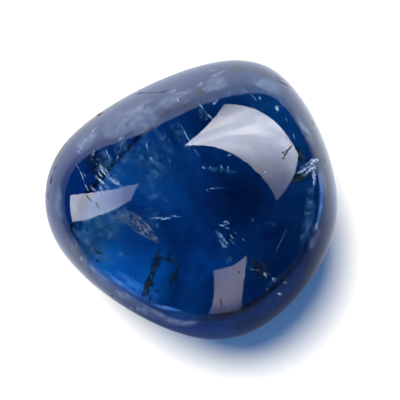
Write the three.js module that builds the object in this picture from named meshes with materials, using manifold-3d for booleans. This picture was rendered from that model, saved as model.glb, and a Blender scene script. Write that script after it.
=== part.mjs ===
// A tumbled blue sapphire: one loose pebble of clear crystal, resting on a small worn flat.
// Millimetres, +Z up, +X along the stone's length. The origin is under the middle of the stone,
// on the surface that it rests on.

import * as THREE from 'three';
import { mergeVertices } from 'three/addons/utils/BufferGeometryUtils.js';
import Module from 'manifold-3d';

// The corners of the rough chip that the pebble was tumbled from, in mm, with z measured from
// the widest line of the stone. The names give the side that each corner is on.
const CHIP_CORNERS = {
  crownBackLeft: [-2.3, 2.6, 4.8],
  crownBackRight: [6.1, 4.7, 3.4],
  crownFrontLeft: [-3.4, -5.4, 3.3],
  crownRight: [8.0, -1.3, 2.7],
  crownFrontRight: [3.8, -6.2, 2.5],
  noseFront: [-8.4, -1.6, 0.3],
  noseBack: [-7.8, 3.0, 0.1],
  girdleBackRight: [4.0, 8.0, -0.2],
  girdleBack: [-0.8, 6.9, -0.7],
  girdleFront: [1.2, -8.2, -0.8],
  baseRight: [8.0, -0.1, -2.2],
  baseFrontRight: [5.2, -5.9, -2.8],
  baseBackRight: [4.6, 6.2, -3.0],
  baseLeft: [-5.3, -3.7, -3.0],
};

// How sharply the skin follows the chip's corners: a low number gives a round pebble, and a
// high one leaves the chip's flat sides and edges standing.
const SHARPNESS = 7;

// The least radius that tumbling left anywhere on the skin.
const ROUNDING = 2.0;

// How much of the lowest point is worn away flat, which leaves a patch about 8 mm across.
const WORN_DEPTH = 0.15;

// How many times each edge of the starting icosahedron is divided.
const SKIN_DIVISIONS = 16;

// Polished sapphire as it looks from a step away.
const SAPPHIRE_BLUE = '#08306b';
const POLISH_ROUGHNESS = 0.06;

// Room round the stone for the block that cuts the worn flat.
const CUTTER_MARGIN = 5;

const corners = Object.values(CHIP_CORNERS).map(([x, y, z]) => new THREE.Vector3(x, y, z));

// The point of the skin that faces along the unit vector `facing`. Every corner on that side
// pulls the skin towards itself, the farthest one the most, and the round-over is added on top.
function skinPoint(facing) {
  const reaches = corners.map((corner) => Math.max(0, corner.dot(facing)));
  const reach = Math.pow(
    reaches.reduce((sum, value) => sum + Math.pow(value, SHARPNESS), 0),
    1 / SHARPNESS,
  );
  const point = facing.clone().multiplyScalar(ROUNDING);
  corners.forEach((corner, index) => {
    point.addScaledVector(corner, Math.pow(reaches[index] / reach, SHARPNESS - 1));
  });
  return point;
}

// A closed mesh of the whole pebble, before its underside is worn: a ball of facing directions,
// each moved to the point of the skin that faces that way.
function makeSkin() {
  let ball = new THREE.IcosahedronGeometry(1, SKIN_DIVISIONS);
  ball.deleteAttribute('normal');
  ball.deleteAttribute('uv');
  ball = mergeVertices(ball);
  const vertices = ball.getAttribute('position');
  const facing = new THREE.Vector3();
  for (let index = 0; index < vertices.count; index += 1) {
    facing.fromBufferAttribute(vertices, index).normalize();
    const point = skinPoint(facing);
    vertices.setXYZ(index, point.x, point.y, point.z);
  }
  ball.computeBoundingBox();
  return ball;
}

// A block whose top face is the plane that the underside is worn down to.
function makeWearBlock(skin) {
  const { min, max } = skin.boundingBox;
  const width = max.x - min.x + 2 * CUTTER_MARGIN;
  const depth = max.y - min.y + 2 * CUTTER_MARGIN;
  let block = new THREE.BoxGeometry(width, depth, CUTTER_MARGIN);
  block.deleteAttribute('normal');
  block.deleteAttribute('uv');
  block = mergeVertices(block);
  block.translate(0, 0, min.z + WORN_DEPTH - CUTTER_MARGIN / 2);
  return block;
}

function toSolid(wasm, geometry) {
  const mesh = new wasm.Mesh({
    numProp: 3,
    vertProperties: new Float32Array(geometry.getAttribute('position').array),
    triVerts: new Uint32Array(geometry.getIndex().array),
  });
  return new wasm.Manifold(mesh);
}

function toGeometry(solid) {
  const mesh = solid.getMesh();
  const geometry = new THREE.BufferGeometry();
  geometry.setAttribute('position', new THREE.BufferAttribute(mesh.vertProperties, 3));
  geometry.setIndex(new THREE.BufferAttribute(mesh.triVerts, 1));
  return geometry;
}

// The finished stone, set down with its worn flat on z = 0 and the middle of its box on the axis.
function makeStone(wasm) {
  const skin = makeSkin();
  const worn = toSolid(wasm, skin).subtract(toSolid(wasm, makeWearBlock(skin)));
  const geometry = toGeometry(worn);
  geometry.computeBoundingBox();
  const { min, max } = geometry.boundingBox;
  geometry.translate(-(min.x + max.x) / 2, -(min.y + max.y) / 2, -min.z);
  geometry.computeVertexNormals();
  const polish = new THREE.MeshStandardMaterial({
    color: SAPPHIRE_BLUE,
    roughness: POLISH_ROUGHNESS,
    metalness: 0,
  });
  const stone = new THREE.Mesh(geometry, polish);
  stone.name = 'sapphire';
  return stone;
}

const wasm = await Module();
wasm.setup();

const sapphire = new THREE.Group();
sapphire.add(makeStone(wasm));

export default sapphire;
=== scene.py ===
"""A tumbled blue sapphire: a clear pebble of crystal, its flaws, and a plain white studio."""

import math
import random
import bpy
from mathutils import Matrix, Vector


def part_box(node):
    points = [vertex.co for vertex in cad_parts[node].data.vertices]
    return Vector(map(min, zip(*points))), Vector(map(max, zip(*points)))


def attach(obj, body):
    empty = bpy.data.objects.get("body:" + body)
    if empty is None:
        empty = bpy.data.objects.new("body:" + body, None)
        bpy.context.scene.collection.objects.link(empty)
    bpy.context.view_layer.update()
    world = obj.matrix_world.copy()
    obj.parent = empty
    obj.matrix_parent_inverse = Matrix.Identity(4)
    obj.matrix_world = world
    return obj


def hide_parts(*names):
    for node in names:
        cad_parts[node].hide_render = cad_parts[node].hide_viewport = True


bl_info = {
    "name": "Tumbled sapphire",
    "version": (1, 0, 0),
    "blender": (4, 5, 0),
    "location": "View3D > Sidebar > Sapphire",
    "description": "Makes a tumbled blue sapphire with its natural flaws, and a white studio round it",
    "category": "Add Mesh",
}

import bmesh
import bpy
import numpy as np
from bpy.props import FloatProperty, FloatVectorProperty, IntProperty, PointerProperty
from mathutils import Vector
from mathutils.bvhtree import BVHTree

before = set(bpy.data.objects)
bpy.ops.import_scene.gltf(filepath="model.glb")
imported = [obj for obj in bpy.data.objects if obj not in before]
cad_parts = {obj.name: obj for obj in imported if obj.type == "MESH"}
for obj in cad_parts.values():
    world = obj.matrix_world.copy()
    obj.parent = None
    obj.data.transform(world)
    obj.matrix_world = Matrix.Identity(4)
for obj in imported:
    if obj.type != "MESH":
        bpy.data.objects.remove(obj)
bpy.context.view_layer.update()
STONE_LOW, STONE_HIGH = (Vector(corner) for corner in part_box("sapphire"))

MM = 0.001
STONE_NAME = "sapphire_stone"
WHITE = (1.0, 1.0, 1.0)

# The place on the paper under the middle of the stone.
MIDDLE_MM = (0.0, 0.0, 0.0)

# The corners of the rough chip that the pebble was tumbled from, in mm, with z measured from
# the widest line of the stone. They are the same corners that the solid is made from. Then how
# sharp its edges stay, how far all of it is rounded, and how deep it is worn flat underneath.
CHIP_CORNERS = (
    (-2.3, 2.6, 4.8),
    (6.1, 4.7, 3.4),
    (-3.4, -5.4, 3.3),
    (8.0, -1.3, 2.7),
    (3.8, -6.2, 2.5),
    (-8.4, -1.6, 0.3),
    (-7.8, 3.0, 0.1),
    (4.0, 8.0, -0.2),
    (-0.8, 6.9, -0.7),
    (1.2, -8.2, -0.8),
    (8.0, -0.1, -2.2),
    (5.2, -5.9, -2.8),
    (4.6, 6.2, -3.0),
    (-5.3, -3.7, -3.0),
)
SHARPNESS = 7
ROUNDING_MM = 2.0
WORN_DEPTH_MM = 0.15

# Height of the stone's widest line over the surface it lies on.
GIRDLE_MM = 5.3

# The camera hangs straight over the stone. The photograph is 30 mm wide at the widest line.
VIEW_WIDTH_MM = 30.0
EYE_RISE_MM = 320.0
EYE_X_MM = 0.65
EYE_Y_MM = -0.04
SENSOR_MM = 36.0
NEAR_CLIP_MM = 10.0
FAR_CLIP_MM = 20000.0

# The polish: the size and height of its waves, and the size of its dull patches, where in the
# noise they begin and how rough they are. The detail of a noise is how many finer ones it holds.
WAVE_MM = 1.7
WAVE_HEIGHT_MM = 0.0045
WAVE_DETAIL = 2.0
DULL_MM = 1.1
DULL_EDGE = (0.56, 0.74)
DULL_DETAIL = 4.0
DULL_ROUGHNESS = 0.1

# The flaws. Each run of points gives where a flaw shows from above, in mm, measured at the
# stone's widest line, then how deep it lies under the skin and how wide it is, both in mm.
SILVER_CRACKS = (
    ((-6.9, 2.7), (-6.6, 2.1), (-6.2, 1.6), 1, 0.34),
    ((-6.4, 2.2), (-6.1, 1.7), (-5.6, 1.2), (-5.3, 0.9), 1.1, 0.22),
    ((-5.9, 1.7), (-5.5, 1.2), (-5.1, 0.8), 1.2, 0.12),
    ((-7.1, 1.7), (-6.7, 1.3), (-6.3, 1.2), 0.9, 0.14),
    ((-7.6, 1.2), (-7.4, 0.8), (-7.1, 0.6), 0.7, 0.12),
    ((-6.9, 1.2), (-6.7, 0.7), (-6.5, 0.4), 0.8, 0.11),
    ((-6.5, 1.1), (-6.2, 0.8), 0.9, 0.1),
    ((-7.2, 1.5), (-7.1, 1.9), 0.9, 0.1),
    ((-7.3, 3.6), (-7.5, 3.3), 0.6, 0.16),
    ((-8.4, 3.8), (-8.2, 3.9), 0.4, 0.14),
    ((-8.5, 3.6), (-8.3, 3.5), 0.4, 0.12),
    ((-8, 4.4), (-7.8, 4.5), 0.4, 0.14),
    ((-7.6, 5), (-7.3, 5.2), (-7, 5.5), 0.3, 0.12),
    ((-1.7, 8.05), (-1.4, 8.15), (-1.1, 8.2), 0.1, 0.16),
    ((1.9, -1.85), (2.4, -1.95), (2.75, -1.8), 2.2, 0.09),
    ((2.35, -1.7), (2.6, -1.65), (2.8, -1.85), 2.2, 0.1),
    ((2.5, -2.1), (2.9, -2.2), 2.2, 0.07),
    ((1.8, -2.2), (2.1, -2.6), (2.4, -2.9), (2.7, -3.3), 2, 0.13),
    ((2, -2.3), (2.3, -2.9), (2.4, -3.3), 2, 0.1),
    ((2.1, -3), (2.4, -3.4), (2.8, -3.7), 1.9, 0.1),
    ((2.5, -3.1), (2.8, -3.5), 1.9, 0.08),
    ((2.9, -2.6), (3.2, -3), 1.9, 0.05),
    ((2.2, -3.5), (2.6, -3.6), 1.9, 0.06),
    ((-3.2, -1.4), (-2.6, -1.4), (-2, -1.35), 2.4, 0.12),
    ((-2.3, -1.4), (-1.9, -1.4), (-1.5, -1.3), 2.4, 0.2),
    ((-1.5, -1.2), (-1.1, -1.3), (-0.7, -1.3), 2.4, 0.18),
    ((8, 1.9), (8.5, 2.3), (9.1, 2.7), (9.6, 3), 0.7, 0.26),
    ((8.2, 1.7), (8.9, 2.3), (9.5, 2.6), 0.6, 0.16),
    ((8.8, 2.6), (9.2, 2.9), (9.6, 2.9), 0.5, 0.24),
    ((9.1, 2.4), (9.2, 1.8), (9.3, 1.1), 0.5, 0.14),
    ((6.25, 6.9), (6.6, 6.75), 0.9, 0.16),
    ((6.3, 7.1), (6.45, 6.6), 0.9, 0.1),
    ((5.1, 7.7), (5.2, 7.5), 1, 0.12),
    ((1.3, 9.2), (1.9, 9.4), (2.6, 9.7), 0.2, 0.1),
    ((0.4, 8.5), (0.9, 8.75), 0.3, 0.18),
    ((0.7, 8.2), (1.2, 8.4), 0.3, 0.14),
    ((1.5, 7.4), (1.7, 7.2), (2, 7.5), 0.6, 0.14),
    ((5.4, -5.5), (5.7, -5.8), 0.9, 0.08),
    ((6, -5.8), (6.3, -6.2), 0.8, 0.07),
    ((5.6, -6.65), (5.8, -6.8), 0.5, 0.07),
    ((6.4, -7), (6.8, -7.15), 0.3, 0.1),
    ((6.9, -6.2), (7.2, -6.3), 0.4, 0.07),
    ((9.3, -1.8), (9.35, -2.3), 0.3, 0.14),
    ((-4.6, -8.1), (-4.4, -8.3), 0.3, 0.12),
    ((-4.1, -8), (-3.9, -8.4), 0.3, 0.12),
)
PALE_NEEDLES = (
    ((-0.9, 5.8), (0, 4.1), 1.2, 0.09),
    ((0, 4.1), (0.6, 3.2), 1.3, 0.05),
    ((0.5, 7.3), (1.1, 6.5), 0.8, 0.07),
    ((1.1, 6.5), (1.7, 5.9), 0.9, 0.1),
    ((2, 6.3), (2.5, 5.9), 0.9, 0.06),
    ((-3.4, 4.3), (-3.2, 3.5), 1.4, 0.1),
    ((-3.1, 3.2), (-2.8, 2.7), 1.5, 0.16),
    ((-8.7, 2.7), (-8.3, 2.1), (-8, 1.2), 0.5, 0.08),
    ((-8, 1.2), (-7.7, 0.6), 0.5, 0.12),
    ((9, 2.5), (9.1, 1.8), (9.2, 1), (9.1, 0.5), 0.6, 0.09),
    ((9.1, 2.8), (9.3, 2.3), (9.5, 1.9), 0.5, 0.09),
    ((1.3, 9.65), (2, 9.75), 0.2, 0.08),
    ((4.5, 7.9), (4.9, 7.4), 0.9, 0.05),
    ((6.6, 7.4), (7, 6.9), 0.7, 0.05),
    ((7.1, 6.1), (7.2, 5.8), 0.8, 0.06),
    ((7.6, 5), (7.8, 4.4), 0.8, 0.04),
    ((-6.4, 3.7), (-6.1, 3), 1, 0.07),
    ((-5, 4.9), (-5.3, 4.1), (-5.3, 3.4), 0.9, 0.07),
    ((-1.9, 3.4), (-1.5, 2.6), 1.6, 0.05),
    ((1.1, 0.8), (1.8, 0.85), (2.6, 0.9), 2.6, 0.09),
    ((1.1, 0.75), (1.3, 0.6), 2.6, 0.14),
    ((0, 2.4), (0.2, 2.35), 2.4, 0.07),
    ((0.8, 2.5), (1, 2.3), 2.4, 0.12),
    ((1.3, 2.6), (1.5, 2.3), 2.4, 0.09),
    ((2.2, 2.6), (2.3, 2.3), 2.4, 0.14),
    ((2.7, 2.5), (2.8, 2.3), 2.4, 0.1),
    ((2.7, 3.3), (3, 3.35), 2.2, 0.1),
    ((5.3, 1.9), (5.7, 2.15), 1.6, 0.05),
    ((7.2, -2.1), (6.7, -3.2), (6.2, -4.2), 1.2, 0.025),
    ((4.2, -5.2), (5, -5.3), (6, -5.7), 0.9, 0.05),
    ((2.8, -2.9), (3.1, -3.2), (3.3, -3.5), 1.9, 0.06),
    ((3.2, -2.4), (3.6, -2.7), 1.9, 0.04),
    ((3.8, -2.9), (4, -3.1), 1.9, 0.05),
    ((-1.2, 7.7), (-0.9, 7.3), 0.5, 0.12),
    ((-6.2, -0.9), (-5.8, -1), 1.2, 0.1),
    ((-8.5, -3.9), (-8.2, -4.6), (-7.8, -5.3), 0.3, 0.12),
    ((-7.6, -4.9), (-7.1, -5.6), 0.4, 0.1),
    ((-8.1, 2), (-7.9, 1.7), 0.4, 0.06),
    ((-5.2, 4.8), (-5.4, 4.4), 0.4, 0.1),
    ((-5.5, 3.3), (-5.6, 2.9), 0.8, 0.12),
)
DARK_CRACKS = (
    ((-2.3, -3.7), (-2.5, -4.3), (-2.7, -4.8), 1.4, 0.3),
    ((-2.6, -4.6), (-2.9, -5.3), (-3.1, -5.9), (-3.3, -6.6), 1.2, 0.34),
    ((-3, -5.9), (-3.4, -6.8), (-3.7, -7.4), 0.9, 0.26),
    ((-3, -6.9), (-3.1, -7.5), (-3.2, -7.9), 0.8, 0.16),
    ((-2.4, -4.4), (-1.7, -4.55), (-0.9, -4.85), 1.3, 0.16),
    ((-0.9, -4.85), (-1.1, -5.4), (-1.5, -6.2), (-1.7, -6.6), 1.2, 0.2),
    ((-1.9, -4), (-1.5, -4.1), 1.4, 0.14),
    ((-4, -5.3), (-4.3, -5.9), 1, 0.06),
    ((-2.8, -6.8), (-2.4, -7), 0.9, 0.1),
    ((4.3, -4.2), (4.7, -4.7), (5, -5.3), 0.8, 0.34),
    ((4.7, -4.6), (5.1, -5.2), (5.4, -6), 0.8, 0.36),
    ((5.1, -4.6), (5.5, -5), (5.8, -5.6), 0.8, 0.22),
    ((6, -6.4), (5.8, -6.9), 0.4, 0.08),
    ((7.3, 1.1), (8, 1.7), (8.8, 2.2), (9.4, 2.6), 0.9, 0.34),
    ((7.9, 1.3), (8.5, 1.7), (9.1, 2.1), 0.9, 0.16),
    ((7.8, 3.9), (8.2, 3.2), (8.5, 2.6), 0.9, 0.3),
    ((7.9, 2.4), (8.2, 2.2), 0.9, 0.16),
    ((-7.3, -3.8), (-6.9, -4), (-6.6, -4.1), 0.6, 0.16),
    ((-7.3, -4.5), (-6.9, -4.7), 0.6, 0.12),
    ((-7.9, -2.2), (-7.8, -2.35), 0.4, 0.22),
    ((-7.9, -1.6), (-7.85, -1.75), 0.4, 0.12),
    ((1.3, -4.2), (1.7, -4.5), 1.2, 0.12),
)

# Cracks and pits that reach the surface and break the polish. Their dark finish is painted shade where the
# polish mirrors nothing.
SKIN_MARKS = (
    ((-7.95, 0.6), (-7.8, 0.2), (-7.5, -0.1), (-7.3, -0.25), 0, 0.13),
    ((-7.3, -0.25), (-7, -0.5), (-6.75, -0.85), 0, 0.08),
    ((-7.2, -0.2), (-6.9, -0.4), 0, 0.06),
    ((-6.75, 0.6), (-6.7, 0.2), 0, 0.06),
    ((6.84, 3.2), (7.05, 3.4), (7.25, 3.7), (7.53, 3.9), 0, 0.32),
    ((6.75, 3.1), (6.95, 3.1), (7.05, 3.3), 0, 0.22),
    ((6.8, 3.45), (7, 3.6), 0, 0.2),
    ((7.3, 3.85), (7.6, 4.05), 0, 0.2),
    ((2.3, -7.3), (2.2, -7.6), (2.25, -8.1), 0, 0.16),
    ((3.5, -5.35), (3.65, -5.5), 0, 0.18),
    ((2.5, -5.85), (2.75, -5.9), 0, 0.07),
    ((-10.3, 2.2), (-10.1, 2.6), 0, 0.12),
    ((-10.6, 1.1), (-10.5, 1.5), (-10.4, 1.9), 0, 0.14),
    ((-10.75, 0), (-10.7, 0.5), 0, 0.12),
    ((-10.2, 1), (-10.15, 1.25), 0, 0.08),
    ((-7.1, 6.25), (-6.6, 6.5), 0, 0.16),
    ((-4.2, 7.85), (-3.8, 8), (-3.4, 8.05), 0, 0.09),
    ((-3.5, 8), (-2.9, 8), (-2.4, 8), 0, 0.05),
    ((-2.5, 8), (-2.1, 8.1), (-1.8, 8.15), 0, 0.12),
    ((-1.3, 8.1), (-0.8, 8.15), (-0.4, 8.3), 0, 0.08),
    ((6.3, 9), (6.8, 8.75), (7.3, 8.4), 0, 0.12),
    ((6.3, 9.15), (6.7, 9), 0, 0.08),
    ((7.1, -7.5), (7.35, -7.15), 0, 0.18),
    ((9.4, -3.8), (9.5, -3.6), 0, 0.12),
    ((9.95, 3.2), (10.05, 2.7), 0, 0.08),
    ((9, 5.9), (9.2, 5.5), 0, 0.08),
    ((-6.1, -7.1), (-5.8, -7.3), 0, 0.1),
    ((-1, -9.5), (-0.6, -9.6), 0, 0.1),
)

# A crack is a bundle of strands. Each strand covers part of the run, between the shares given.
STRAND_START = (0.0, 0.35)
STRAND_END = (0.65, 1.0)

# For each kind of flaw: its strands, how wide one is as a share of the whole, how far they lie
# to the side as a share of half the width, their steps, and how far they stray in mm.
HEALED_BUNDLE = (7, (0.07, 0.26), 1.5, 7, 0.035)
NEEDLE_BUNDLE = (1, (1.0, 1.0), 0.0, 3, 0.0)
DARK_BUNDLE = (6, (0.12, 0.4), 1.2, 7, 0.04)
MARK_BUNDLE = (2, (0.4, 0.7), 0.6, 5, 0.03)

# Each object of cracks or needles: its runs, their bundle and their finish.
CRACKS = {
    "healed_cracks": (SILVER_CRACKS, HEALED_BUNDLE, "Healed crack, silvery"),
    "needles": (PALE_NEEDLES, NEEDLE_BUNDLE, "Rutile needle, pale"),
    "dark_cracks": (DARK_CRACKS, DARK_BUNDLE, "Open crack, stained dark"),
    "skin_marks": (SKIN_MARKS, MARK_BUNDLE, "Open crack, stained dark"),
}

# A flaw is a flat sliver: how thick it is against its width, how near to the far skin its depth
# may bring it, as a share of the way through, and where the way through is measured from, in mm
# under the skin.
SLIVER_FLATNESS = 0.35
MOST_DEPTH = 0.8
UNDER_SKIN_MM = 0.02
FLAW_SEED = 20

# Milky veils: soft-edged films of fine bubbles, lit by a painted glow. Each is a run, its depth and its
# width in mm.
MILKY_VEILS = (
    ((-7.2, 3.2), (-6.7, 2.5), (-6.2, 1.9), 1.3, 1.3),
    ((-6.6, 4), (-6.3, 3.3), (-5.9, 2.7), 1.2, 0.8),
    ((-5, 5.4), (-5.2, 4.8), (-5.6, 4.2), 0.4, 0.5),
    ((-4.6, 6.2), (-5, 5.5), 0.4, 0.7),
    ((-7.4, 1.4), (-6.6, 1), (-5.8, 0.9), 1.2, 0.9),
    ((-8.4, -1.2), (-7, -1.6), (-5.6, -1.3), (-4.2, -0.8), 1.2, 2),
    ((-7.9, -2.4), (-6.6, -2.6), (-5.2, -2.3), 1.2, 1.4),
    ((-4, -0.5), (-2.8, -1.2), (-2.4, -2.6), 1.7, 1.1),
    ((-3.2, 4), (-2.9, 3), (-2.6, 2.2), (-2.4, 1.4), 1.8, 1.1),
    ((-3.9, 5.4), (-3, 3.9), (-2, 2.2), (-1.4, 0.9), 2.2, 1.3),
    ((-2.4, 5.6), (-1.8, 4.2), (-1.2, 3), 1.9, 0.8),
    ((0.4, 6.9), (0.9, 6.3), (1.5, 6.1), 1, 0.9),
    ((0.6, 2.4), (2, 2.2), (3.6, 2), 2.4, 0.5),
    ((2, 8), (3.4, 8.2), (4.6, 7.9), 0.9, 0.7),
    ((7.4, 3), (8, 2.4), 1.1, 0.8),
    ((5.3, -1.9), (6.6, -1.8), 1.6, 0.5),
    ((5.6, -6.4), (6.6, -6), (7.2, -5.2), 0.8, 0.5),
    ((3, -4), (2.6, -4.9), 1.4, 0.7),
    ((-6, -4.2), (-4.6, -4.4), 1.8, 1),
    ((-6, 5), (-5.2, 3.6), (-4.4, 2.2), 1.6, 1.3),
    ((-4.7, 5), (-3.8, 3), (-2.6, 0.8), 2, 1.5),
    ((-7, 4), (-6, 2.6), (-5, 1.4), 1.5, 1.3),
    ((-4.4, 1.8), (-3, 0.6), (-1.4, -0.4), 2.2, 1.5),
    ((-8.4, -0.6), (-6.8, -1.8), (-5, -3), 1.6, 1.6),
    ((-8, -3), (-6.8, -4), (-5.6, -5.2), 1.2, 1.4),
    ((-1.6, 5.8), (-0.6, 4.8), (0.2, 3.6), 1.6, 1.3),
    ((-7.9, -1), (-6.4, -0.9), (-5.2, -1.4), 1, 1.2),
    ((-9, -1.6), (-8.2, -2.6), (-7, -3.4), 0.8, 1.2),
    ((-8.6, -2.6), (-7.6, -3.8), (-6.4, -4.8), 0.8, 1),
    ((-5.6, 4.9), (-5, 4.2), (-4.8, 3.2), 0.6, 0.6),
    ((-3.9, 5.4), (-3.4, 4.6), (-3.3, 3.6), 0.7, 0.5),
    ((-2.9, 5.6), (-2.2, 4.4), (-1.9, 3.4), 0.9, 0.5),
    ((8.8, 1.4), (9, 0), (8.8, -1.8), (8.1, -3.6), 1, 1),
    ((8.9, 0.8), (8.9, -1), (8.5, -2.8), 1.4, 0.8),
)

# Lighter and more violet cloud just under the skin of the rim: a milky haze, with a painted glow that
# lightens the rim.
RIM_CLOUDS = (
    ((-8.8, 3.2), (-8, 4.3), (-7, 5.3), 0.2, 1.1),
    ((-6.8, 4.9), (-5.2, 5.8), (-3.6, 6.5), 0.2, 1.8),
    ((-4.8, 5), (-3.4, 5.6), (-2, 6.3), 0.3, 1.4),
    ((-2.8, 7), (-1.2, 7.6), (0.6, 8), 0.2, 1.3),
    ((0.8, 8), (1.6, 8.6), (3, 9), 0.2, 1.2),
    ((4.4, 9), (6, 8.5), (7.1, 7.5), 0.2, 1),
    ((7.6, 6.6), (8.6, 5.2), (9.2, 3.8), 0.2, 0.7),
    ((9.2, 3.2), (9.8, 1.6), (10, 0), 0.2, 0.6),
    ((9.7, -1), (9.3, -2.6), (8.8, -4), 0.2, 0.7),
    ((-9.9, 1.2), (-10, -0.4), (-9.6, -2), 0.2, 0.7),
    ((-9.4, -2.4), (-8.7, -3.6), (-7.8, -4.9), 0.2, 0.8),
    ((-7.4, -5.4), (-6.2, -6.5), (-5, -7.4), 0.2, 0.7),
    ((-4.4, -7.8), (-3, -8.5), (-1.6, -8.9), 0.2, 0.7),
    ((-1.8, -9.1), (-0.6, -9.3), (0.8, -9.2), 0.2, 0.5),
    ((-6.3, -6.4), (-5, -7.3), (-3.6, -8.1), 0.1, 0.8),
    ((-4.6, -7.6), (-3.2, -8.4), (-1.6, -9.1), 0.1, 0.8),
    ((-3.2, -8.4), (-1.6, -9.1), (0, -9.5), 0.1, 0.7),
    ((-6.6, 4.6), (-5.2, 5.6), (-3.8, 6.4), (-2.4, 6.9), 0.2, 1.7),
    ((-5.2, 5.9), (-3.8, 6.8), (-2.2, 7.3), 0.15, 1.3),
)

# Painted light: glowing pale blue strips along the inner edge of the rim, where the stone gathers light.
PAINTED_LIGHT_STRIPS = (
    ((-6.9, -4.9), (-5.7, -6), (-4.7, -6.8), (-3.4, -7.5), 0.5, 0.34),
    ((-3.2, -7.7), (-2.3, -8.05), (-0.6, -8.4), 0.5, 0.32),
    ((-6, -5.2), (-5, -6), (-3.8, -6.9), (-2, -7.6), 2.8, 1),
    ((9.5, 2.4), (9.75, 1), (9.75, -0.4), (9.4, -2.2), 0.3, 0.35),
)

# Dark stain that spreads from the open cracks.
DARK_STAINS = (
    ((-2.3, -3.6), (-2.7, -4.9), (-3.1, -6.2), 1.5, 0.8),
    ((-2.9, -5.6), (-3.3, -6.6), (-3.6, -7.5), 1.1, 0.9),
    ((-2.5, -4.3), (-1.6, -4.5), (-0.8, -4.9), 1.4, 0.42),
    ((-0.8, -4.7), (-1.2, -5.7), (-1.7, -6.7), 1.3, 0.5),
    ((-1.9, -4), (-1.4, -4.2), 1.4, 0.4),
    ((4.3, -4.4), (5, -5.3), (5.5, -6.2), 0.9, 0.8),
    ((5.3, -4.8), (5.8, -5.7), 0.9, 0.4),
    ((7.3, 1.1), (8.1, 1.7), (9, 2.2), 1.1, 0.7),
    ((7.7, 4.2), (8.1, 3.3), (8.6, 2.6), 1, 0.8),
    ((-7.4, -3.8), (-6.6, -4.1), 0.7, 0.4),
    ((2.6, -2.4), (3.1, -3.2), 2.3, 0.9),
)

# Painted shade: ink blue films along the inner edge of the rim and behind the silvery cracks, where the
# stone looks darkest.
EDGE_SHADES = (
    ((0.4, -8.9), (2.4, -8.8), (4, -8.3), (5.3, -7.4), (6.6, -6.2), 0.4, 0.75),
    ((1.2, -8.75), (2.8, -8.55), (4.2, -8), (5.4, -7.1), 0.5, 0.55),
    ((4.6, -7.9), (6, -6.8), (7.3, -5.4), (8.4, -3.8), (8.9, -2.4), 0.4, 0.5),
    ((-7.8, 3.7), (-7.2, 2.8), (-6.6, 1.6), 1.7, 1.8),
)

# Each object of films: its runs and its finish.
VEILS = {
    "milky_veils": (MILKY_VEILS, "Veil of fine bubbles, milky"),
    "rim_clouds": (RIM_CLOUDS, "Cloud under the skin, violet grey"),
    "blue_strips": (PAINTED_LIGHT_STRIPS, "Painted gathered light, pale blue"),
    "dark_stains": (DARK_STAINS, "Stain round a crack, blue black"),
    "edge_shades": (EDGE_SHADES, "Painted shade, ink blue"),
}

# How a veil is divided across and between two points of its run, its thickness in mm, how blunt
# its ends are, in steps, and how many steps they take to fade.
VEIL_ACROSS = 10
VEIL_STEPS = 6
VEIL_THICKNESS_MM = 0.04
VEIL_BLUNTNESS = 0.3
VEIL_FADE_STEPS = 3
FADE_LAYER = "fade"

# The rusty feather: fine ribs that run from its upper edge to its lower one, in mm. Its lower
# edge lies a little deeper, and a soft film lies behind the ribs.
FEATHER_UPPER = ((-5.6, -0.7), (-4.9, -0.8), (-4.0, -1.2), (-3.2, -1.9), (-2.6, -2.9))
FEATHER_LOWER = ((-6.4, -1.2), (-5.5, -1.6), (-4.5, -2.2), (-3.7, -2.7), (-2.5, -3.3))
FEATHER_DEPTH_MM = 1.5
FEATHER_SLOPE_MM = 0.3
FEATHER_RIBS = 110
FEATHER_RIB_MM = (0.015, 0.055)
FEATHER_LENGTH = (0.06, 0.26)
FEATHER_STEPS = 5
FEATHER_WANDER_MM = 0.08
FEATHER_FILM_MM = 1.3
FEATHER_FILM_DEPTH_MM = 1.9

# Fields of tiny crystals: a middle in mm, how far they spread in x and y, how many there are,
# and their depth in mm. Then the size of one in mm, how thickly they gather in the middle as a
# share of the spread, how unlike their depths are, and how unlike the sides of one are.
SPECK_FIELDS = (
    ((-6.8, -3.9), (0.5, 0.9), 26, 0.7),
    ((-8.4, 3.6), (0.25, 0.3), 12, 0.4),
    ((-7.3, 3), (0.5, 0.5), 12, 0.8),
    ((-6.3, 1.8), (0.7, 0.5), 16, 1),
    ((1.6, 7.4), (0.5, 0.25), 14, 0.6),
    ((1.6, 2.3), (1.3, 0.25), 14, 2.4),
    ((5.2, -2), (1.5, 0.9), 12, 1.4),
    ((6.4, -6.4), (0.8, 0.8), 9, 0.6),
    ((-3.3, -7.9), (0.5, 0.5), 16, 0.4),
    ((-8.3, -4.6), (0.3, 0.7), 12, 0.3),
    ((8.6, 2.3), (0.5, 0.4), 16, 0.6),
    ((5.6, 7.2), (0.9, 0.7), 14, 0.9),
    ((-4.6, 2), (0.7, 0.6), 6, 1.5),
    ((0, 0), (5, 4.5), 34, 2.4),
)
SPECK_MM = (0.02, 0.075)
SPECK_SCATTER = 0.5
SPECK_DEPTHS = (0.7, 1.3)
SPECK_SIDES = (0.5, 1.2)
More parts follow.
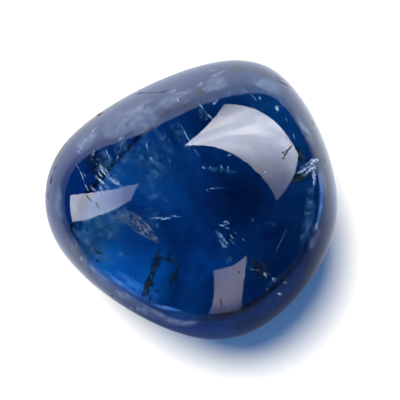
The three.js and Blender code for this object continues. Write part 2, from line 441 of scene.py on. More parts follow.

# The finishes of the flaws: a pale and a dark colour, the size in mm of the grain that parts them, the
# roughness, and the strength of the painted glow that stands in for the glints and light they gather. A
# film also has its cover where it is densest, the size of its wisps in mm, and where in the noise they turn
# from clear to cloudy.
FINISHES = {
    # Films of old fluid that mirror the light: their small sharp glints are painted, by the glow.
    "Healed crack, silvery": ("#f6f2ff", "#3c5c98", 0.14, 0.25, 0.5),
    # Thin threads of another mineral that scatter light: the painted glow lights their fine milky lines.
    "Rutile needle, pale": ("#cfdcf4", "#24467c", 0.3, 0.35, 0.36),
    # Dirt and iron in a gap that no light crosses: the eye sees near black.
    "Open crack, stained dark": ("#2a2c34", "#04060c", 0.35, 0.6, 0.03),
    # Grains of another clear mineral: pin points, the pale ones lit by painted glow and the rest dark.
    "Tiny crystal, pale": ("#dce4ff", "#1c2c54", 0.4, 0.3, 0.5),
    # Iron dried in the folds of a crack: dull silver with some copper in it, lit by painted glow.
    "Rust stain in a crack": ("#b4a0a8", "#3c4468", 0.2, 0.5, 0.34),
    # The thin wash of the same stain between the folds: a grey smear, faintly lit by painted glow.
    "Stained film in a crack": ("#8c8490", "#4a5c84", 0.25, 0.8, 0.2, 0.42, 0.5, (0.36, 0.74)),
    # Bubbles too fine to tell apart: a milky blue mist, lit by painted glow.
    "Veil of fine bubbles, milky": ("#84a4c8", "#2c5c94", 0.35, 0.8, 0.14, 0.42, 0.5, (0.36, 0.74)),
    # The same mist close under the skin: violet grey cloud, whose painted glow lightens the rim.
    "Cloud under the skin, violet grey": ("#a8b2d4", "#6478a8", 0.6, 0.8, 0.2, 0.5, 1.3, (0.3, 0.72)),
    # Painted light, a glowing film for the light that the rim gathers: the eye sees a pale blue line.
    "Painted gathered light, pale blue": ("#78b4ff", "#2878dc", 0.8, 0.8, 0.38, 0.5, 1.6, (0.22, 0.66)),
    # Iron that has spread into the crystal: the eye sees a soft edge of blue black.
    "Stain round a crack, blue black": ("#0e1834", "#040814", 0.5, 0.8, 0.1, 0.75, 0.5, (0.34, 0.62)),
    # Painted shade, a dark film put where the stone looks darkest: the eye sees ink blue.
    "Painted shade, ink blue": ("#08183c", "#040e26", 1.0, 0.8, 0.18, 0.6, 0.5, (0.1, 0.4)),
}
GRAIN_EDGE = (0.4, 0.62)
GRAIN_DETAIL = 3.0
WISP_DETAIL = 6.0
WISP_NOISE = {"Roughness": 0.62, "Distortion": 0.8}

# The three white panels that the polish mirrors. Each is a flat sheet, given by the azimuth and
# elevation of its corners from the stone, in degrees, by its light, by the share of it that is
# left at the dim end, and by where its bright end is: the azimuth and elevation of that, and the
# cosines from it between which the light grows.
PANELS = {
    "panel_window": (
        ((98, 51), (-21, 61), (20, 39), (93, 6)),
        (11.0, 11.2, 11.8),
        0.1,
        (66, 42),
        (0.6, 1.15),
    ),
    "panel_left": (
        ((177, 5), (176, 47), (185, 42), (189, 5)),
        (4.9, 5.0, 5.3),
        0.32,
        (182, 5),
        (0.8, 1.0),
    ),
    "panel_front": (
        ((-71, 56), (-62, 56), (-54, 57), (-59, 51.5), (-64, 43), (-68, 23), (-71, 2), (-85, 3), (-81, 21)),
        (1.8, 1.65, 1.75),
        0.33,
        (-66, 42),
        (0.82, 0.975),
    ),
}
PANEL_DISTANCE_MM = 450.0

# Soft folds in the cloth of the panels: how many there are to a radian, where in the noise they
# turn from shade to light, and the light that is left in their shade.
CLOTH_FOLDS = 3.5
CLOTH_EDGE = (0.38, 0.62)
CLOTH_DETAIL = 3.0
CLOTH_SHADE = (0.72, 0.74, 0.78)

# The paper under the stone, and the hair of air between them.
FLOOR_HALF_MM = 3000.0
FLOOR_GAP_MM = 0.02

# What each kind of ray finds past the panels, as linear light: the polish mirrors a dark room,
# light inside the stone leaves into a dim one with a bright window overhead and a darker curtain
# at the back, and the floor gets a blue fill, which the warm key makes up to white. An aim is an
# azimuth and an elevation, and an edge is the two cosines from it between which the change runs.
ROOM_MIRRORED = (0.004, 0.006, 0.012)
ROOM_THROUGH_STONE = (1.1, 1.25, 1.4)
WINDOW_THROUGH_STONE = (3.5, 4.0, 4.0)
WINDOW_AIM = (60, 80)
WINDOW_EDGE = (0.8, 0.97)
CURTAIN_THROUGH_STONE = (0.5, 0.65, 0.72)
CURTAIN_AIM = (136, 36)
CURTAIN_EDGE = (0.84, 0.97)
ROOM_FILL = (0.09, 0.2, 0.45)
KEY_COLOUR = (1.0, 0.92, 0.73)
ROOM_SEEN = (1.2, 1.2, 1.2)

# The white paper as the polish mirrors it, a painted reflection that glows: bright near the stone, fading
# far off, less so at the back, and in painted shade at the front.
PAPER = (0.9, 0.9, 0.9)
PAPER_MIRRORED = (1.33, 1.43, 1.53)
PAPER_MIRRORED_FAR = (0.28, 0.33, 0.4)
MIRRORED_REACH_MM = (5.0, 105.0)
PAPER_MIRRORED_BACK = (0.76, 0.82, 0.94)
BACK_AIM = (95, 0)
BACK_EDGE = (0.25, 0.75)
PAPER_MIRRORED_SHADE = (0.1, 0.12, 0.17)
MIRRORED_SHADE_AIM = (-75, 0)
MIRRORED_SHADE_EDGE = (0.0, 0.88)

# The paper as it shows through the stone, painted with shade and light: painted shade where the stone lies
# on it and in two smaller spots, painted light round that and on the open side, painted shade past the
# stone's edge at the front, and a painted pool of light in the one spot where the stone gathers the light.
# A place is a middle and the distances from it between which the change runs, in mm.
PAPER_SHADE_UNDER_STONE = (0.01, 0.01, 0.07)
PAPER_THROUGH_STONE = (1.2, 1.6, 1.75)
SHADE_SPOTS_MM = (
    ((3.0, 0.5, 0.0), (0.0, 7.0)),
    ((-1.4, -2.2, 0.0), (-2.3, 2.9)),
    ((-2.0, -1.0, 0.0), (-1.6, 1.5)),
)
PAPER_OPEN_SIDE = (1.3, 1.55, 1.3)
OPEN_SIDE_MM = ((3.0, 0.5, 0.0), (5.0, 9.0))
PAPER_THROUGH_SHADE = (0.05, 0.085, 0.17)
SHADE_AIM = (-68, 0)
SHADE_EDGE = (-0.05, 0.95)
SHADE_START_MM = (2.5, 8.0)
PAPER_GATHERED_LIGHT = (2.2, 3.7, 3.5)
GATHERED_MM = ((-3.4, -4.2, 0.0), (2.3, 0.3))

# Painted dapples of light and shade that an uneven stone throws on the paper under it: their size, where in
# the noise they turn from shade to light, and the light that is left in their shade.
PAINTED_DAPPLE_MM = 1.5
PAINTED_DAPPLE_EDGE = (0.34, 0.58)
PAINTED_DAPPLE_DETAIL = 4.0
PAINTED_DAPPLE_SHADE = (0.55, 0.58, 0.66)


def linear(colour):
    """Turn an sRGB hex colour such as #08306b into linear red, green and blue."""
    parts = [int(colour[start:start + 2], 16) / 255 for start in (1, 3, 5)]
    return [part / 12.92 if part <= 0.04045 else ((part + 0.055) / 1.055) ** 2.4 for part in parts]


def direction(azimuth, elevation):
    """Unit vector from compass angles in degrees: azimuth from +X towards +Y, elevation up."""
    turn = math.radians(azimuth)
    rise = math.radians(elevation)
    return Vector((math.cos(rise) * math.cos(turn), math.cos(rise) * math.sin(turn), math.sin(rise)))


def new_object(name, data):
    """Link a mesh, lamp or camera into the scene as an object at the origin."""
    thing = bpy.data.objects.new(name, data)
    bpy.context.scene.collection.objects.link(thing)
    return thing


def new_material(name):
    """An empty node material."""
    material = bpy.data.materials.new(name)
    material.use_nodes = True
    material.node_tree.nodes.clear()
    return material, material.node_tree


def add_node(tree, kind, inputs=None, **settings):
    """Add a shader node, set its options, and give each input a value or a link from a socket."""
    node = tree.nodes.new("ShaderNode" + kind)
    for name, value in settings.items():
        setattr(node, name, value)
    for name, value in (inputs or {}).items():
        socket = node.inputs[name]
        if isinstance(value, bpy.types.NodeSocket):
            tree.links.new(value, socket)
        elif socket.type == "RGBA":
            socket.default_value = (*value, 1.0)
        else:
            socket.default_value = value
    return node


def smooth_share(tree, edge, output, kind, inputs, **settings):
    """Measure something with one node, then step smoothly from 0 to 1 between two values of it."""
    measure = add_node(tree, kind, inputs, **settings)
    step = {"Value": measure.outputs[output], "From Min": edge[0], "From Max": edge[1]}
    return add_node(tree, "MapRange", step, interpolation_type="SMOOTHSTEP").outputs["Result"]


def grain_share(tree, place, size, edge, detail, noise=None):
    """Noise with grains of a given size, as a share from 0 to 1."""
    inputs = {"Vector": place, "Scale": 1 / size, "Detail": detail, **(noise or {})}
    return smooth_share(tree, edge, "Fac", "TexNoise", inputs)


def aim_share(tree, place, aim, edge):
    """How nearly a place lies at an azimuth and elevation from the stone, as a share from 0 to 1."""
    bearing = add_node(tree, "VectorMath", {0: place}, operation="NORMALIZE")
    inputs = {0: bearing.outputs["Vector"], 1: direction(*aim)}
    return smooth_share(tree, edge, "Value", "VectorMath", inputs, operation="DOT_PRODUCT")


def distance_share(tree, place, middle_mm, reach_mm):
    """How far a place lies from a middle, between two distances, as a share from 0 to 1."""
    inputs = {0: place, 1: Vector(middle_mm) * MM}
    edge = [reach * MM for reach in reach_mm]
    return smooth_share(tree, edge, "Value", "VectorMath", inputs, operation="DISTANCE")


def together(tree, share, *others):
    """What is left of a share where others hold too: all of them multiplied."""
    for other in others:
        share = add_node(tree, "Math", {0: share, 1: other}, operation="MULTIPLY").outputs[0]
    return share


def lay_over(tree, colour, *layers):
    """Lay colours over a first one, each as far as its share says."""
    for share, over in layers:
        mix = add_node(tree, "Mix", {0: share, 6: colour, 7: over}, data_type="RGBA")
        colour = mix.outputs[2]
    return colour


def dappled(tree, colour, share, shade):
    """Darken a colour down to a shade of itself where the share is low."""
    inputs = {0: 1.0, 6: colour, 7: lay_over(tree, shade, (share, WHITE))}
    return add_node(tree, "Mix", inputs, data_type="RGBA", blend_type="MULTIPLY").outputs[2]


class SapphireStone(bpy.types.PropertyGroup):
    """The stone's colour and polish."""

    body_colour: FloatVectorProperty(
        name="Body colour",
        description="Colour that the crystal lets through",
        subtype="COLOR",
        size=3,
        min=0.0,
        max=1.0,
        default=linear("#59cbe4"),
    )
    absorption: FloatProperty(
        name="Absorption",
        description="How strongly the crystal colours light, per metre of path",
        default=400.0,
        min=0.0,
    )
    ior: FloatProperty(
        name="IOR",
        description="How much the crystal bends light. Corundum is 1.76 to 1.77",
        default=1.77,
        min=1.0,
    )
    polish: FloatProperty(
        name="Polish roughness",
        description="Roughness of the tumbled surface",
        default=0.0,
        min=0.0,
        max=1.0,
    )
    divisions: IntProperty(
        name="Divisions",
        description="How many times the starting ball is divided",
        default=7,
        min=3,
        max=7,
    )


class SapphireStage(bpy.types.PropertyGroup):
    """The floor and lights."""

    key_azimuth: FloatProperty(
        name="Key azimuth",
        description="Side that the key light comes from, in degrees from +X towards +Y",
        default=121.0,
    )
    key_elevation: FloatProperty(
        name="Key elevation",
        description="Height of the key light over the floor, in degrees",
        default=49.0,
    )
    key_spread: FloatProperty(
        name="Key spread",
        description="Angle that the key light fills, which softens the shadow, in degrees",
        default=57.0,
    )
    key_strength: FloatProperty(
        name="Key strength",
        description="Light that the key throws on a surface facing it",
        default=9.6,
        min=0.0,
    )


def skin_points(facings):
    """The points of the stone's skin, in mm, that face along an array of unit vectors."""
    corners = np.array(CHIP_CORNERS)
    reaches = np.maximum(0.0, facings @ corners.T)
    reach = (reaches ** SHARPNESS).sum(axis=1, keepdims=True) ** (1 / SHARPNESS)
    return (reaches / reach) ** (SHARPNESS - 1) @ corners + ROUNDING_MM * facings


def make_stone_mesh(divisions):
    """The whole skin as a fine closed mesh, worn flat underneath and set where the solid is."""
    shape = bmesh.new()
    bmesh.ops.create_icosphere(shape, subdivisions=divisions, radius=1.0)
    facings = np.array([vertex.co[:] for vertex in shape.verts])
    facings /= np.linalg.norm(facings, axis=1, keepdims=True)
    points = skin_points(facings) * MM
    lowest = points[:, 2].min()
    worn_height = lowest + WORN_DEPTH_MM * MM
    middle = (points.min(axis=0) + points.max(axis=0)) / 2
    solid_middle = (STONE_LOW + STONE_HIGH) / 2
    shift = Vector((solid_middle.x - middle[0], solid_middle.y - middle[1], STONE_LOW.z - worn_height))
    for vertex, point in zip(shape.verts, points):
        vertex.co = Vector(point) + shift
    for face in shape.faces:
        face.smooth = True
    cut = bmesh.ops.bisect_plane(
        shape,
        geom=shape.verts[:] + shape.edges[:] + shape.faces[:],
        plane_co=(0.0, 0.0, STONE_LOW.z),
        plane_no=(0.0, 0.0, -1.0),
        clear_outer=True,
    )
    rim = [item for item in cut["geom_cut"] if isinstance(item, bmesh.types.BMEdge)]
    bmesh.ops.contextual_create(shape, geom=rim)
    bmesh.ops.recalc_face_normals(shape, faces=shape.faces[:])
    mesh = bpy.data.meshes.new(STONE_NAME)
    shape.to_mesh(mesh)
    shape.free()
    return mesh


def polished_sapphire(stone):
    """Sapphire, tumble polished.

    Single-crystal corundum is clear, with a high index that gives a bright, glassy rim. Iron
    and titanium in it take out the red and then the green, so it deepens to ink blue with
    thickness and stays light blue where it is thin. Tumbling leaves the polish faintly wavy,
    so mirrored edges wander a little, with a few duller patches.
    """
    material, tree = new_material("Sapphire, tumble polished")
    place = add_node(tree, "TexCoord").outputs["Object"]
    noise = {"Vector": place, "Scale": 1 / (WAVE_MM * MM), "Detail": WAVE_DETAIL}
    waves = add_node(tree, "TexNoise", noise).outputs["Fac"]
    ripple = add_node(tree, "Bump", {"Height": waves, "Distance": WAVE_HEIGHT_MM * MM})
    dull = grain_share(tree, place, DULL_MM * MM, DULL_EDGE, DULL_DETAIL)
    patches = {0: dull, 1: DULL_ROUGHNESS, 2: stone.polish}
    roughness = add_node(tree, "Math", patches, operation="MULTIPLY_ADD")
    inputs = {
        "Base Color": WHITE,
        "IOR": stone.ior,
        "Transmission Weight": 1.0,
        "Roughness": roughness.outputs[0],
        "Normal": ripple.outputs["Normal"],
    }
    body = add_node(tree, "BsdfPrincipled", inputs)
    depth = add_node(tree, "VolumeAbsorption", {"Color": stone.body_colour, "Density": stone.absorption})
    looks = {"Surface": body.outputs["BSDF"], "Volume": depth.outputs["Volume"]}
    add_node(tree, "OutputMaterial", looks)
    return material


class SAPPHIRE_OT_make_stone(bpy.types.Operator):
    """Make the clear stone itself."""

    bl_idname = "sapphire.make_stone"
    bl_label = "Make the stone"

    def execute(self, context):
        settings = context.scene.sapphire_stone
        stone = new_object(STONE_NAME, make_stone_mesh(settings.divisions))
        stone.data.materials.append(polished_sapphire(settings))
        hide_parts("sapphire")
        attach(stone, "root")
        return {"FINISHED"}


class SightLines:
    """Finds the places inside the stone that show at given spots from above."""

    def __init__(self, ior):
        mesh = bpy.data.objects[STONE_NAME].data
        corners = [vertex.co.copy() for vertex in mesh.vertices]
        self.skin = BVHTree.FromPolygons(corners, [face.vertices[:] for face in mesh.polygons])
        self.ior = ior
        self.eye = Vector((EYE_X_MM, EYE_Y_MM, GIRDLE_MM + EYE_RISE_MM)) * MM

    def bend(self, sight, normal):
        """The direction that a sight line takes inside the crystal."""
        ratio = 1 / self.ior
        facing = -normal.dot(sight)
        across = 1 - ratio ** 2 * (1 - facing ** 2)
        return (ratio * sight + (ratio * facing - math.sqrt(across)) * normal).normalized()

    def inside(self, spot, depth_mm):
        """The point that shows at a spot, in mm, and lies that deep under the skin."""
        aim = Vector((*spot, GIRDLE_MM)) * MM
        sight = (aim - self.eye).normalized()
        entry, normal, _, _ = self.skin.ray_cast(self.eye, sight)
        if entry is None:
            raise RuntimeError(f"No part of the stone shows at {spot}")
        ray = self.bend(sight, normal)
        _, _, _, reach = self.skin.ray_cast(entry + ray * MM * UNDER_SKIN_MM, ray)
        return entry + ray * min(depth_mm * MM, MOST_DEPTH * reach)


def between(first, second, share):
    """The spot that lies a share of the way from a first spot to a second."""
    return tuple(a + (b - a) * share for a, b in zip(first, second))


def part_of(spots, start, end, steps):
    """Evenly spaced spots along part of a run, between two shares of its length."""
    lengths = [math.dist(a, b) for a, b in zip(spots, spots[1:])]
    whole = sum(lengths)
    run = []
    for step in range(steps + 1):
        left = whole * (start + (end - start) * step / steps)
        leg = 0
        while leg < len(lengths) - 1 and left > lengths[leg]:
            left -= lengths[leg]
            leg += 1
        run.append(between(spots[leg], spots[leg + 1], min(left / lengths[leg], 1.0)))
    return run


def swell(share):
    """How full a flaw is at a share of its length: nothing at its ends, with blunt ends."""
    return math.sqrt(math.sin(math.pi * share))


def stray(chance, reach):
    """A random step from above, up to a reach each way."""
    return Vector((chance.uniform(-reach, reach), chance.uniform(-reach, reach)))


def flaw_finish(name):
    """The finish of a flaw: slightly glossy, broken into pale and dark by a grain.

    A film is densest in its middle and fades out, in wisps, to nothing at its edge.
    """
    pale, dark, grain_mm, roughness, glow, *film = FINISHES[name]
    material, tree = new_material(name)
    place = add_node(tree, "TexCoord").outputs["Object"]
    share = grain_share(tree, place, grain_mm * MM, GRAIN_EDGE, GRAIN_DETAIL)
    tint = lay_over(tree, linear(dark), (share, linear(pale)))
    # The glow is painted light: it stands in for the glints and light that the flaw gathers.
    inputs = {"Base Color": tint, "Roughness": roughness, "Emission Color": tint, "Emission Strength": glow}
    if film:
        cover, wisp_mm, wisp_edge = film
        fade = add_node(tree, "Attribute", attribute_name=FADE_LAYER).outputs["Fac"]
        wisps = grain_share(tree, place, wisp_mm * MM, wisp_edge, WISP_DETAIL, WISP_NOISE)
        inputs["Alpha"] = together(tree, wisps, fade, cover)
    body = add_node(tree, "BsdfPrincipled", inputs)
    add_node(tree, "OutputMaterial", {"Surface": body.outputs["BSDF"]})
    return material


def finish_flaw(name, shape, finish):
    """Turn finished flaws into one object, in the finish named, that belongs to the stone."""
    bmesh.ops.recalc_face_normals(shape, faces=shape.faces[:])
    mesh = bpy.data.meshes.new(name)
    shape.to_mesh(mesh)
    shape.free()
    mesh.materials.append(bpy.data.materials.get(finish) or flaw_finish(finish))
    flaw = new_object(name, mesh)
    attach(flaw, "root")


def add_sliver(shape, spine, width):
    """A closed flat sliver along a run of points, widest in the middle, pointed at its ends."""
    rings = []
    for index, point in enumerate(spine[1:-1], start=1):
        along = (spine[index + 1] - spine[index - 1]).normalized()
        side = along.cross(Vector((0.0, 0.0, 1.0))).normalized()
        up = side.cross(along)
        fullness = swell(index / (len(spine) - 1))
        reach = side * width / 2 * fullness
        rise = up * width / 2 * SLIVER_FLATNESS * fullness
        rings.append([shape.verts.new(point + offset) for offset in (reach, rise, -reach, -rise)])
    first = shape.verts.new(spine[0])
    last = shape.verts.new(spine[-1])
    for corner in range(4):
        after = (corner + 1) % 4
        shape.faces.new((first, rings[0][after], rings[0][corner]))
        shape.faces.new((last, rings[-1][corner], rings[-1][after]))
        for near, far in zip(rings, rings[1:]):
            shape.faces.new((near[corner], near[after], far[after], far[corner]))


def make_slivers(name, runs, bundle, finish):
    """Make one object from a list of runs, each a bundle of strands."""
    strands, strand_width, spread, steps, wander_mm = bundle
    sights = SightLines(bpy.context.scene.sapphire_stone.ior)
    chance = random.Random(FLAW_SEED)
    shape = bmesh.new()
    for *spots, depth_mm, width_mm in runs:
        for strand in range(strands):
            start = chance.uniform(*STRAND_START) if strand else 0.0
            end = chance.uniform(*STRAND_END) if strand else 1.0
            side = stray(chance, spread * width_mm / 2 if strand else 0.0)
            spine = []
            for spot in part_of(spots, start, end, steps):
                spine.append(sights.inside(Vector(spot) + side + stray(chance, wander_mm), depth_mm))
            add_sliver(shape, spine, chance.uniform(*strand_width) * width_mm * MM)
    finish_flaw(name, shape, finish)


def add_veil(shape, sights, spots, depth_mm, width_mm):
    """A thin closed film along a run of spots, with a fade layer that is 0 all round its edge."""
    fade_layer = shape.verts.layers.float.get(FADE_LAYER) or shape.verts.layers.float.new(FADE_LAYER)
    run = part_of(spots, 0.0, 1.0, VEIL_STEPS * (len(spots) - 1))
    last = len(run) - 1
    rows = []
    for index, spot in enumerate(run):
        along = (Vector(run[min(index + 1, last)]) - Vector(run[max(index - 1, 0)])).normalized()
        fullness = swell((index + VEIL_BLUNTNESS) / (last + 2 * VEIL_BLUNTNESS))
        end_fade = min(index, last - index, VEIL_FADE_STEPS) / VEIL_FADE_STEPS
        row = []
        for step in range(VEIL_ACROSS + 1):
            across = 2 * step / VEIL_ACROSS - 1
            reach = across * fullness * width_mm / 2
            place = sights.inside((spot[0] - along.y * reach, spot[1] + along.x * reach), depth_mm)
            fade = (1 - across ** 2) * fullness * end_fade
            lift = Vector((0.0, 0.0, VEIL_THICKNESS_MM * MM / 2 * fade))
            top = shape.verts.new(place + lift)
            bottom = shape.verts.new(place - lift) if fade > 0 else top
            top[fade_layer] = bottom[fade_layer] = fade
            row.append((top, bottom))
        rows.append(row)
    for near, far in zip(rows, rows[1:]):
        for step in range(VEIL_ACROSS):
            corners = (near[step], near[step + 1], far[step + 1], far[step])
            tops, bottoms = zip(*corners)
            shape.faces.new(tops)
            if bottoms != tops:
                shape.faces.new(bottoms)


def make_veils(name, runs, finish):
    """Make one object from a list of soft-edged films."""
    sights = SightLines(bpy.context.scene.sapphire_stone.ior)
    shape = bmesh.new()
    for *spots, depth_mm, width_mm in runs:
        add_veil(shape, sights, spots, depth_mm, width_mm)
    finish_flaw(name, shape, finish)


def add_speck(shape, place, size, chance):
    """A tiny crystal: an uneven eight-sided grain."""
    tips = []
    for axis in range(3):
        for sign in (1, -1):
            tip = Vector((0.0, 0.0, 0.0))
            tip[axis] = sign * size / 2 * chance.uniform(*SPECK_SIDES)
            tips.append(shape.verts.new(place + tip))
    for x in (0, 1):
        for y in (2, 3):
            for z in (4, 5):
                shape.faces.new((tips[x], tips[y], tips[z]))


class SAPPHIRE_OT_make_cracks(bpy.types.Operator):
    """Make the healed cracks, the needles, the dark cracks and the marks in the skin."""

    bl_idname = "sapphire.make_cracks"
    bl_label = "Make the cracks and needles"

    def execute(self, context):
        for name, cracks in CRACKS.items():
            make_slivers(name, *cracks)
        return {"FINISHED"}


class SAPPHIRE_OT_make_veils(bpy.types.Operator):
    """Make the milky veils, rim clouds, painted light strips, dark stains and the painted shade inside the
    rim.
    """

    bl_idname = "sapphire.make_veils"
    bl_label = "Make the veils"

    def execute(self, context):
        for name, veils in VEILS.items():
            make_veils(name, *veils)
        return {"FINISHED"}


class SAPPHIRE_OT_make_feather(bpy.types.Operator):
    """Make the rusty feather: a soft film with fine ribs across it."""

    bl_idname = "sapphire.make_feather"
    bl_label = "Make the feather"

    def execute(self, context):
        sights = SightLines(context.scene.sapphire_stone.ior)
        chance = random.Random(FLAW_SEED)
        shape = bmesh.new()
        for rib in range(FEATHER_RIBS):
            start = (rib + chance.random()) / FEATHER_RIBS
            end = min(start + chance.uniform(*FEATHER_LENGTH), 1.0)
            height = chance.random()
            depth_mm = FEATHER_DEPTH_MM + FEATHER_SLOPE_MM * height
            upper = part_of(FEATHER_UPPER, start, end, FEATHER_STEPS)
            lower = part_of(FEATHER_LOWER, start, end, FEATHER_STEPS)
            spine = []
            for high, low in zip(upper, lower):
                wander = chance.uniform(-FEATHER_WANDER_MM, FEATHER_WANDER_MM)
                spot = [part + wander for part in between(high, low, height)]
                spine.append(sights.inside(spot, depth_mm))
            add_sliver(shape, spine, chance.uniform(*FEATHER_RIB_MM) * MM)
        finish_flaw("feather_ribs", shape, "Rust stain in a crack")
        middle = [between(high, low, 1 / 2) for high, low in zip(FEATHER_UPPER, FEATHER_LOWER)]
        film = (*middle, FEATHER_FILM_DEPTH_MM, FEATHER_FILM_MM)
        make_veils("feather_film", (film,), "Stained film in a crack")
        return {"FINISHED"}


class SAPPHIRE_OT_make_specks(bpy.types.Operator):
    """Make the fields of tiny pale and dark crystals."""

    bl_idname = "sapphire.make_specks"
    bl_label = "Make the specks"

    def execute(self, context):
        sights = SightLines(context.scene.sapphire_stone.ior)
        chance = random.Random(FLAW_SEED)
        shape = bmesh.new()
        for middle, spread, count, depth_mm in SPECK_FIELDS:
            for _ in range(count):
                spot = [a + b * chance.gauss(0.0, SPECK_SCATTER) for a, b in zip(middle, spread)]
                place = sights.inside(spot, depth_mm * chance.uniform(*SPECK_DEPTHS))
                add_speck(shape, place, chance.uniform(*SPECK_MM) * MM, chance)
        finish_flaw("specks", shape, "Tiny crystal, pale")
        return {"FINISHED"}


def glowing(name, light, dim_share, bright_end, edge):
    """A lit white panel, brighter towards one end, as cloth in front of a lamp is."""
    material, tree = new_material(name)
    place = add_node(tree, "NewGeometry").outputs["Position"]
    bearing = add_node(tree, "VectorMath", {0: place}, operation="NORMALIZE").outputs["Vector"]
    dim = [dim_share * part for part in light]
    colour = lay_over(tree, dim, (aim_share(tree, bearing, bright_end, edge), light))
    fold = grain_share(tree, bearing, 1 / CLOTH_FOLDS, CLOTH_EDGE, CLOTH_DETAIL)
    glow = add_node(tree, "Emission", {"Color": dappled(tree, colour, fold, CLOTH_SHADE)})
    add_node(tree, "OutputMaterial", {"Surface": glow.outputs["Emission"]})
    return material


def make_panel(name, corners, *finish):
    """One flat panel whose corners stand in the given directions from the stone."""
    sights = [direction(*corner) for corner in corners]
    middle = sum(sights, Vector()).normalized()
    centre = Vector((0.0, 0.0, GIRDLE_MM * MM))
    places = [centre + sight * (PANEL_DISTANCE_MM * MM / sight.dot(middle)) for sight in sights]
    mesh = bpy.data.meshes.new(name)
    mesh.from_pydata([place[:] for place in places], [], [tuple(range(len(places)))])
    mesh.materials.append(glowing(name, *finish))
    panel = new_object(name, mesh)
    panel.visible_camera = False
    panel.visible_diffuse = False
    panel.visible_transmission = False
    panel.visible_shadow = False


def paper_white():
    """Paper, matt white.

    It scatters light evenly, so the eye sees plain white and the shadow on it. What the polish mirrors of
    it is a painted reflection that glows, and what shows of it through the stone is painted with shade and
    light, set apart by place, for a studio whose light all comes from the back.
    """
    material, tree = new_material("Paper, matt white")
    path = add_node(tree, "LightPath").outputs
    place = add_node(tree, "NewGeometry").outputs["Position"]
    # Painted reflection: the paper as the polish mirrors it, with painted shade at the front.
    back = aim_share(tree, place, BACK_AIM, BACK_EDGE)
    far = distance_share(tree, place, MIDDLE_MM, MIRRORED_REACH_MM)
    front = aim_share(tree, place, MIRRORED_SHADE_AIM, MIRRORED_SHADE_EDGE)
    mirrored = lay_over(
        tree,
        PAPER_MIRRORED,
        (far, lay_over(tree, PAPER_MIRRORED_FAR, (back, PAPER_MIRRORED_BACK))),
        (front, PAPER_MIRRORED_SHADE),
    )
    # Painted shade and light on the paper as it shows through the stone.
    shade_spots = [distance_share(tree, place, *shade_spot) for shade_spot in SHADE_SPOTS_MM]
    past_edge = distance_share(tree, place, MIDDLE_MM, SHADE_START_MM)
    shade_side = aim_share(tree, place, SHADE_AIM, SHADE_EDGE)
    through = lay_over(
        tree,
        PAPER_SHADE_UNDER_STONE,
        (together(tree, *shade_spots), PAPER_THROUGH_STONE),
        (distance_share(tree, place, *OPEN_SIDE_MM), PAPER_OPEN_SIDE),
        (together(tree, past_edge, shade_side), PAPER_THROUGH_SHADE),
        (distance_share(tree, place, *GATHERED_MM), PAPER_GATHERED_LIGHT),
    )
    # Painted dapples of light and shade on the paper under the stone.
    painted_dapples = grain_share(tree, place, PAINTED_DAPPLE_MM * MM, PAINTED_DAPPLE_EDGE, PAINTED_DAPPLE_DETAIL)
    through = dappled(tree, through, painted_dapples, PAINTED_DAPPLE_SHADE)
    colour = lay_over(tree, PAPER, (path["Is Transmission Ray"], through))
    rays = {0: path["Is Glossy Ray"], 1: path["Is Transmission Ray"]}
    only_mirrored = add_node(tree, "Math", rays, operation="GREATER_THAN")
    paper = add_node(tree, "BsdfDiffuse", {"Color": colour})
    # The painted reflection glows for mirrored rays only.
    glow = add_node(tree, "Emission", {"Color": mirrored})
    looks = {0: only_mirrored.outputs[0], 1: paper.outputs[0], 2: glow.outputs[0]}
    surface = add_node(tree, "MixShader", looks)
    add_node(tree, "OutputMaterial", {"Surface": surface.outputs[0]})
    return material


def make_floor():
    """A wide white sheet under the stone."""
    mesh = bpy.data.meshes.new("floor")
    half = FLOOR_HALF_MM * MM
    drop = -FLOOR_GAP_MM * MM
    edge = [(-half, -half, drop), (half, -half, drop), (half, half, drop), (-half, half, drop)]
    mesh.from_pydata(edge, [], [(0, 1, 2, 3)])
    mesh.materials.append(paper_white())
    new_object("floor", mesh)


def make_key(stage):
    """A soft key light that lights the floor evenly and isn't mirrored in the polish."""
    lamp = bpy.data.lights.new("key", "SUN")
    lamp.energy = stage.key_strength
    lamp.color = KEY_COLOUR
    lamp.angle = math.radians(stage.key_spread)
    key = new_object("key", lamp)
    sight = direction(stage.key_azimuth, stage.key_elevation)
    key.rotation_euler = sight.to_track_quat("Z", "Y").to_euler()
    key.location = sight
    key.visible_glossy = False
    key.visible_transmission = False


def make_world():
    """A dark room behind the panels that looks white where the camera sees past the floor."""
    world = bpy.data.worlds.new("studio")
    bpy.context.scene.world = world
    world.use_nodes = True
    tree = world.node_tree
    tree.nodes.clear()
    path = add_node(tree, "LightPath").outputs
    sky = add_node(tree, "TexCoord").outputs["Generated"]
    through = lay_over(
        tree,
        ROOM_THROUGH_STONE,
        (aim_share(tree, sky, WINDOW_AIM, WINDOW_EDGE), WINDOW_THROUGH_STONE),
        (aim_share(tree, sky, CURTAIN_AIM, CURTAIN_EDGE), CURTAIN_THROUGH_STONE),
    )
    colour = lay_over(
        tree,
        ROOM_FILL,
        (path["Is Glossy Ray"], ROOM_MIRRORED),
        (path["Is Transmission Ray"], through),
        (path["Is Camera Ray"], ROOM_SEEN),
    )
    room = add_node(tree, "Background", {"Color": colour})
    add_node(tree, "OutputWorld", {"Surface": room.outputs[0]})


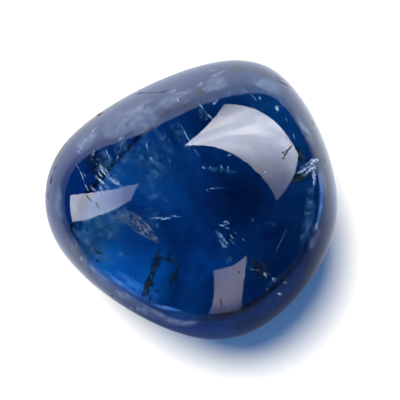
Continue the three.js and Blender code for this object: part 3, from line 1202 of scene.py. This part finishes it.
def make_camera():
    """A long lens straight over the stone."""
    lens = bpy.data.cameras.new("camera")
    lens.sensor_width = SENSOR_MM
    lens.lens = SENSOR_MM * EYE_RISE_MM / VIEW_WIDTH_MM
    lens.clip_start = NEAR_CLIP_MM * MM
    lens.clip_end = FAR_CLIP_MM * MM
    camera = new_object("camera", lens)
    camera.location = Vector((EYE_X_MM, EYE_Y_MM, GIRDLE_MM + EYE_RISE_MM)) * MM
    bpy.context.scene.camera = camera


class SAPPHIRE_OT_set_stage(bpy.types.Operator):
    """Set up the white floor, the lights, the dark room and the camera."""

    bl_idname = "sapphire.set_stage"
    bl_label = "Set the stage"

    def execute(self, context):
        make_camera()
        make_floor()
        make_world()
        make_key(context.scene.sapphire_stage)
        for name, panel in PANELS.items():
            make_panel(name, *panel)
        context.scene.view_settings.view_transform = "Standard"
        return {"FINISHED"}


class SAPPHIRE_PT_panel(bpy.types.Panel):
    """Lists the steps that make the stone."""

    bl_idname = "SAPPHIRE_PT_panel"
    bl_label = "Tumbled sapphire"
    bl_space_type = "VIEW_3D"
    bl_region_type = "UI"
    bl_category = "Sapphire"

    def draw(self, context):
        for step in STEPS:
            self.layout.operator(step.bl_idname)


STEPS = (
    SAPPHIRE_OT_set_stage,
    SAPPHIRE_OT_make_stone,
    SAPPHIRE_OT_make_cracks,
    SAPPHIRE_OT_make_veils,
    SAPPHIRE_OT_make_feather,
    SAPPHIRE_OT_make_specks,
)
GROUPS = {
    "sapphire_stone": SapphireStone,
    "sapphire_stage": SapphireStage,
}


def register():
    for group in GROUPS.values():
        bpy.utils.register_class(group)
    for step in STEPS:
        bpy.utils.register_class(step)
    bpy.utils.register_class(SAPPHIRE_PT_panel)
    for name, group in GROUPS.items():
        setattr(bpy.types.Scene, name, PointerProperty(type=group))


def unregister():
    for name in GROUPS:
        delattr(bpy.types.Scene, name)
    bpy.utils.unregister_class(SAPPHIRE_PT_panel)
    for step in reversed(STEPS):
        bpy.utils.unregister_class(step)
    for group in reversed(GROUPS.values()):
        bpy.utils.unregister_class(group)


def main():
    register()
    bpy.ops.sapphire.set_stage()
    bpy.ops.sapphire.make_stone()
    bpy.ops.sapphire.make_cracks()
    bpy.ops.sapphire.make_veils()
    bpy.ops.sapphire.make_feather()
    bpy.ops.sapphire.make_specks()


if __name__ == "__main__":
    main()
